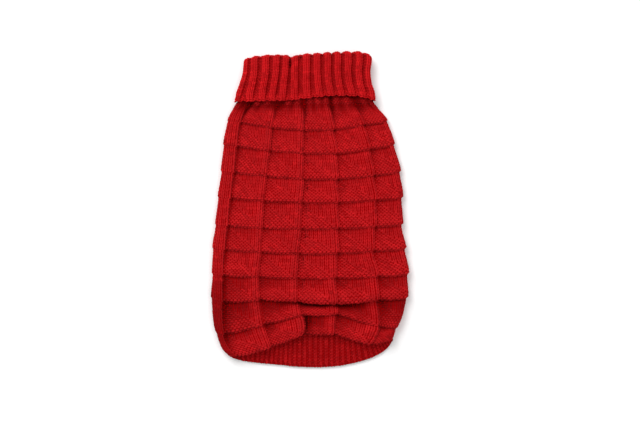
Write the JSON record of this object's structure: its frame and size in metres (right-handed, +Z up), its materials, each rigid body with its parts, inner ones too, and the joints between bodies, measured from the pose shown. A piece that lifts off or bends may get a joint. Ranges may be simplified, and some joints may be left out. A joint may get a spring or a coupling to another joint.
{
  "type": "dog sweater",
  "caption": "Knitted turtleneck dog sweater with a tiled back, ribbed hem and leg holes, laid flat with its back up.",
  "frame": {"origin": "middle of the sweater's outline, on the surface it lies on", "axes": "+Y towards the collar, +X to the right seen from above, +Z up from the surface, out of the sweater's back"},
  "size_m": [0.222, 0.3571, 0.0132],
  "materials": {
    "body_knit": "matte knitted yarn, tiles of knit and purl",
    "rib_knit": "matte knitted yarn, ribbed"
  },
  "bodies": {
    "root": {"back_panel": "body_knit", "belly_panel": "body_knit", "collar": "rib_knit", "tail_hem_band": "rib_knit", "belly_hem_band": "rib_knit", "leg_band_left": "rib_knit", "leg_band_right": "rib_knit"}
  },
  "joints": []
}
